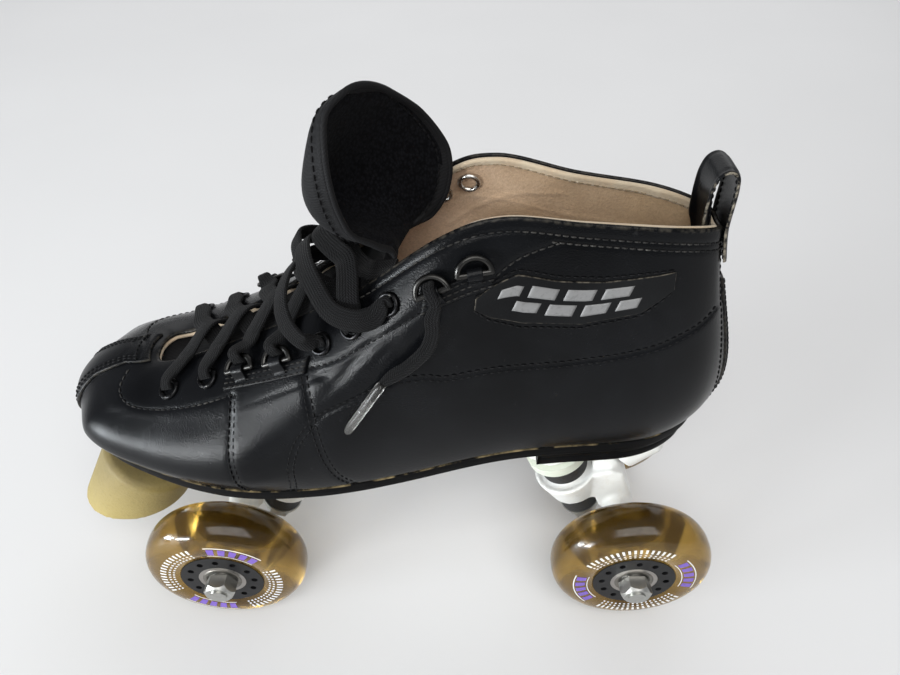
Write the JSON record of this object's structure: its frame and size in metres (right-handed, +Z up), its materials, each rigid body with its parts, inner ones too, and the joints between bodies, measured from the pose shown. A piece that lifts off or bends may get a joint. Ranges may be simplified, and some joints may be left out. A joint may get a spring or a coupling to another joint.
{
  "type": "quad speed skate",
  "caption": "Low-cut leather quad roller skate for the left foot, with steering trucks, ball-bearing wheels, laced tongue and an adjustable toe stop.",
  "frame": {"origin": "on the floor under the middle of the bounding box", "axes": "+X towards the toe, +Y towards the outer side of the left foot, +Z up"},
  "size_m": [0.3168, 0.1246, 0.2555],
  "materials": {
    "black_leather": "satin",
    "sole_edge": "matte, worn edge",
    "tan_lining": "suede",
    "panel_cloth": "woven",
    "dark_steel": "gunmetal",
    "tongue_cloth": "padded cloth",
    "black_lace": "flat woven",
    "aglet_plastic": "clear sleeve",
    "black_webbing": "woven",
    "white_metal": "white paint",
    "zinc": "zinc plated",
    "cushion_rubber": "satin",
    "pale_plastic": "matte",
    "black_plastic": "matte",
    "cream_rubber": "matte",
    "amber_urethane": "translucent satin",
    "hub_plastic": "matte",
    "bearing_steel": "ground"
  },
  "bodies": {
    "boot": {"outsole": "sole_edge", "heel_block": "sole_edge", "upper": "black_leather", "lining": "tan_lining", "insole": "tan_lining", "toe_strip": "black_leather", "backstay": "black_leather", "side_panel_lateral": "panel_cloth", "side_panel_medial": "panel_cloth", "forefoot_tabs": "black_leather", "ankle_tabs": "black_leather", "forefoot_rings": "dark_steel", "ankle_rings": "dark_steel", "eyelets": "dark_steel", "tongue_base": "tongue_cloth", "laces": "black_lace", "lace_end_lateral": "black_lace", "lace_end_medial": "black_lace", "aglet_lateral": "aglet_plastic", "aglet_medial": "aglet_plastic", "heel_loop": "black_webbing", "plate": "white_metal", "plate_bolts": "zinc", "tee_nuts": "zinc", "kingpins": "zinc", "upper_cushions": "cushion_rubber", "lower_cushions": "cushion_rubber", "upper_cup_washers": "pale_plastic", "lower_cup_washers": "zinc", "kingpin_nuts": "zinc", "pivot_cups": "black_plastic", "toe_stop_nut": "zinc"},
    "tongue": {"tongue_flap": "tongue_cloth"},
    "top_ring_lateral": {"top_ring_lateral": "dark_steel"},
    "top_ring_medial": {"top_ring_medial": "dark_steel"},
    "front_truck": {"front_hanger": "white_metal", "front_axle": "zinc", "inner_races_front": "bearing_steel", "axle_washers_front": "zinc", "axle_nuts_front": "zinc"},
    "rear_truck": {"rear_hanger": "white_metal", "rear_axle": "zinc", "inner_races_rear": "bearing_steel", "axle_washers_rear": "zinc", "axle_nuts_rear": "zinc"},
    "wheel_front_left": {"tyre_front_left": "amber_urethane", "hub_front_left": "hub_plastic", "bearings_front_left": "bearing_steel"},
    "wheel_front_right": {"tyre_front_right": "amber_urethane", "hub_front_right": "hub_plastic", "bearings_front_right": "bearing_steel"},
    "wheel_rear_left": {"tyre_rear_left": "amber_urethane", "hub_rear_left": "hub_plastic", "bearings_rear_left": "bearing_steel"},
    "wheel_rear_right": {"tyre_rear_right": "amber_urethane", "hub_rear_right": "hub_plastic", "bearings_rear_right": "bearing_steel"},
    "toe_stop": {"toe_stop": "cream_rubber", "toe_stop_stem": "zinc"}
  },
  "joints": [
    {"name": "front_steer", "type": "hinge", "parent": "boot", "child": "front_truck", "pos_m": [0.05013, 0, 0.047], "axis": [0.6947, 0, 0.7193], "range_deg": [-8, 8], "stiffness_Nm_per_rad": 40},
    {"name": "rear_steer", "type": "hinge", "parent": "boot", "child": "rear_truck", "pos_m": [-0.09587, 0, 0.047], "axis": [-0.6947, 0, 0.7193], "range_deg": [-8, 8], "stiffness_Nm_per_rad": 40},
    {"name": "front_left_wheel_spin", "type": "hinge", "parent": "front_truck", "child": "wheel_front_left", "pos_m": [0.07463, 0.042, 0.038], "axis": [0, 1, 0], "continuous": true},
    {"name": "front_right_wheel_spin", "type": "hinge", "parent": "front_truck", "child": "wheel_front_right", "pos_m": [0.07463, -0.042, 0.038], "axis": [0, 1, 0], "continuous": true},
    {"name": "rear_left_wheel_spin", "type": "hinge", "parent": "rear_truck", "child": "wheel_rear_left", "pos_m": [-0.12037, 0.042, 0.038], "axis": [0, 1, 0], "continuous": true},
    {"name": "rear_right_wheel_spin", "type": "hinge", "parent": "rear_truck", "child": "wheel_rear_right", "pos_m": [-0.12037, -0.042, 0.038], "axis": [0, 1, 0], "continuous": true},
    {"name": "tongue_bend", "type": "hinge", "parent": "boot", "child": "tongue", "pos_m": [-0.01187, 0, 0.1905], "axis": [0, 1, 0], "range_deg": [-10, 8], "stiffness_Nm_per_rad": 0.4},
    {"name": "top_ring_lateral_swing", "type": "hinge", "parent": "boot", "child": "top_ring_lateral", "pos_m": [-0.04174, 0.03222, 0.20329], "axis": [-0.9852, -0.1386, 0.1009], "range_deg": [0, 70]},
    {"name": "top_ring_medial_swing", "type": "hinge", "parent": "boot", "child": "top_ring_medial", "pos_m": [-0.04151, -0.0317, 0.20314], "axis": [0.9859, -0.1323, -0.1028], "range_deg": [0, 70]},
    {"name": "toe_stop_height", "type": "slide", "parent": "boot", "child": "toe_stop", "axis": [0.5, 0, -0.866], "range_m": [-0.004, 0.006]}
  ]
}
